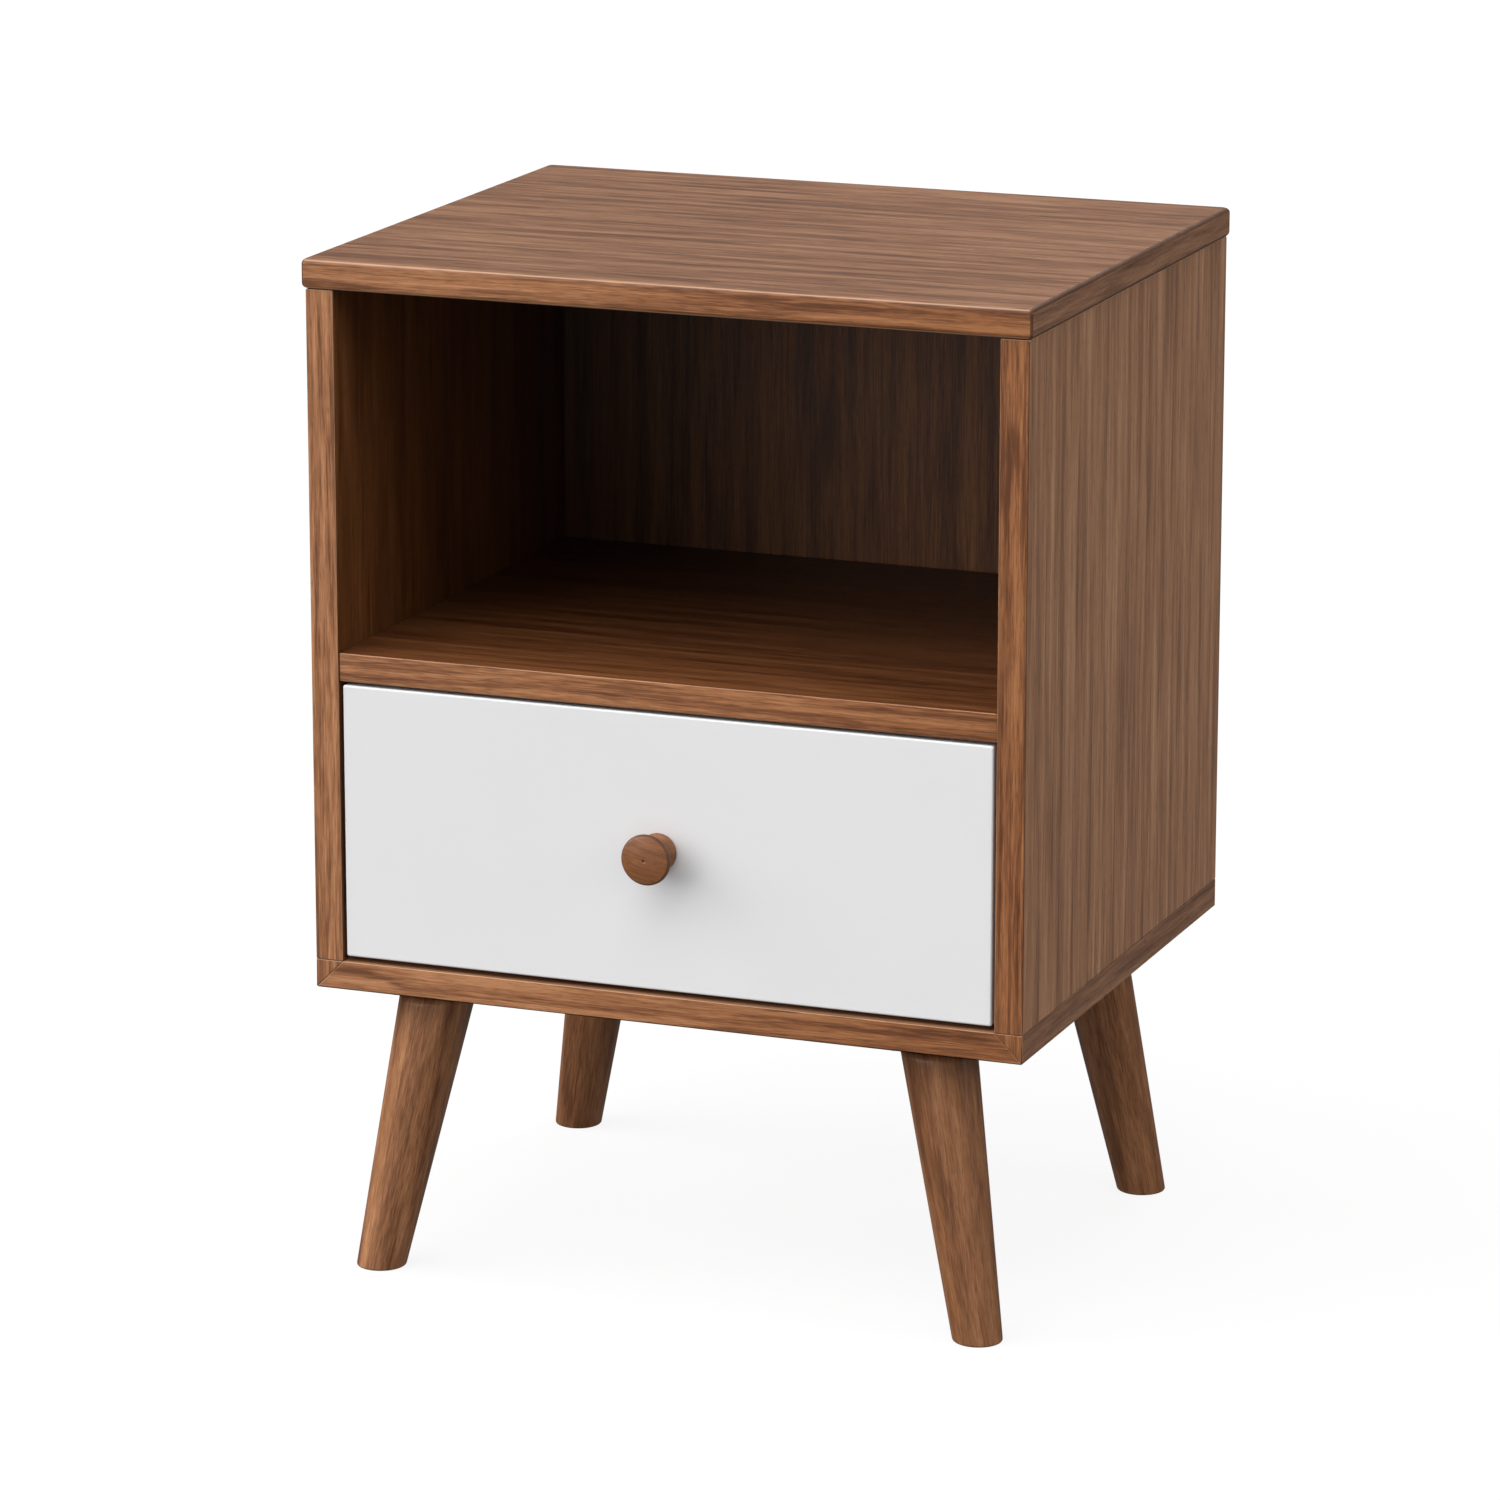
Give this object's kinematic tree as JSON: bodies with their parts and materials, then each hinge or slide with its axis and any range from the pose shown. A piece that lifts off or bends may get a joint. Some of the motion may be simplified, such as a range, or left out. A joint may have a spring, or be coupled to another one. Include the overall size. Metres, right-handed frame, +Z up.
{
  "type": "side table with drawer",
  "caption": "Small wooden side table with an open shelf above a white inset drawer, on splayed tapered round legs.",
  "frame": {"origin": "on the floor, under the middle of the whole table, knob included", "axes": "+Z up, the drawer opens towards -Y, +X to the right of somebody facing the drawer"},
  "size_m": [0.404, 0.3506, 0.5535],
  "materials": {
    "walnut": "satin lacquered walnut veneer, grain along each board's length",
    "walnut_solid": "satin lacquered solid wood, stained walnut, grain along the leg or across the knob",
    "white_paint": "smooth satin white lacquer on fibreboard",
    "pale_board": "pale birch-faced drawer board, matt",
    "beech": "plain fluted beech dowel",
    "painted_steel": "cream-white powder coated sheet steel",
    "zinc_steel": "zinc plated steel, satin",
    "nylon": "white nylon"
  },
  "bodies": {
    "cabinet": {"back_panel": "walnut", "bottom_corner_strip_left": "walnut", "bottom_corner_strip_right": "walnut", "bottom_panel": "walnut", "cabinet_roller_axle_left": "zinc_steel", "cabinet_roller_axle_right": "zinc_steel", "cabinet_runner_left": "painted_steel", "cabinet_runner_right": "painted_steel", "cabinet_runner_screw_left_front": "zinc_steel", "cabinet_runner_screw_left_rear": "zinc_steel", "cabinet_runner_screw_right_front": "zinc_steel", "cabinet_runner_screw_right_rear": "zinc_steel", "hanger_bolt_front_left": "zinc_steel", "hanger_bolt_front_right": "zinc_steel", "hanger_bolt_rear_left": "zinc_steel", "hanger_bolt_rear_right": "zinc_steel", "leg_front_left": "walnut_solid", "leg_front_right": "walnut_solid", "leg_plate_front_left": "zinc_steel", "leg_plate_front_right": "zinc_steel", "leg_plate_rear_left": "zinc_steel", "leg_plate_rear_right": "zinc_steel", "leg_rear_left": "walnut_solid", "leg_rear_right": "walnut_solid", "shelf_dowel_left_front": "beech", "shelf_dowel_left_rear": "beech", "shelf_dowel_right_front": "beech", "shelf_dowel_right_rear": "beech", "shelf_panel": "walnut", "side_panel_left": "walnut", "side_panel_right": "walnut", "top_dowel_left_front": "beech", "top_dowel_left_rear": "beech", "top_dowel_right_front": "beech", "top_dowel_right_rear": "beech", "top_panel": "walnut"},
    "drawer": {"drawer_back": "pale_board", "drawer_floor": "pale_board", "drawer_front": "white_paint", "drawer_knob": "walnut_solid", "drawer_roller_axle_left": "zinc_steel", "drawer_roller_axle_right": "zinc_steel", "drawer_runner_left": "painted_steel", "drawer_runner_right": "painted_steel", "drawer_runner_screw_left_front": "zinc_steel", "drawer_runner_screw_left_rear": "zinc_steel", "drawer_runner_screw_right_front": "zinc_steel", "drawer_runner_screw_right_rear": "zinc_steel", "drawer_side_left": "pale_board", "drawer_side_right": "pale_board", "knob_screw": "zinc_steel"},
    "cabinet_roller_left": {"cabinet_roller_left": "nylon"},
    "cabinet_roller_right": {"cabinet_roller_right": "nylon"},
    "drawer_roller_left": {"drawer_roller_left": "nylon"},
    "drawer_roller_right": {"drawer_roller_right": "nylon"}
  },
  "joints": [
    {"name": "drawer_slide", "type": "slide", "parent": "cabinet", "child": "drawer", "axis": [0, -1, 0], "range_m": [0, 0.19]},
    {"name": "cabinet_roller_left_spin", "type": "hinge", "parent": "cabinet", "child": "cabinet_roller_left", "pos_m": [-0.1776, -0.12265, 0.2005], "axis": [1, 0, 0], "continuous": true},
    {"name": "drawer_roller_left_spin", "type": "hinge", "parent": "drawer", "child": "drawer_roller_left", "pos_m": [-0.1776, 0.10335, 0.1955], "axis": [1, 0, 0], "continuous": true},
    {"name": "cabinet_roller_right_spin", "type": "hinge", "parent": "cabinet", "child": "cabinet_roller_right", "pos_m": [0.1776, -0.12265, 0.2005], "axis": [1, 0, 0], "continuous": true},
    {"name": "drawer_roller_right_spin", "type": "hinge", "parent": "drawer", "child": "drawer_roller_right", "pos_m": [0.1776, 0.10335, 0.1955], "axis": [1, 0, 0], "continuous": true}
  ],
  "couplings": [
    {"joint": "cabinet_roller_left_spin", "follows": "drawer_slide", "rad_per_m": 125},
    {"joint": "drawer_roller_left_spin", "follows": "drawer_slide", "rad_per_m": 125},
    {"joint": "cabinet_roller_right_spin", "follows": "drawer_slide", "rad_per_m": 125},
    {"joint": "drawer_roller_right_spin", "follows": "drawer_slide", "rad_per_m": 125}
  ]
}
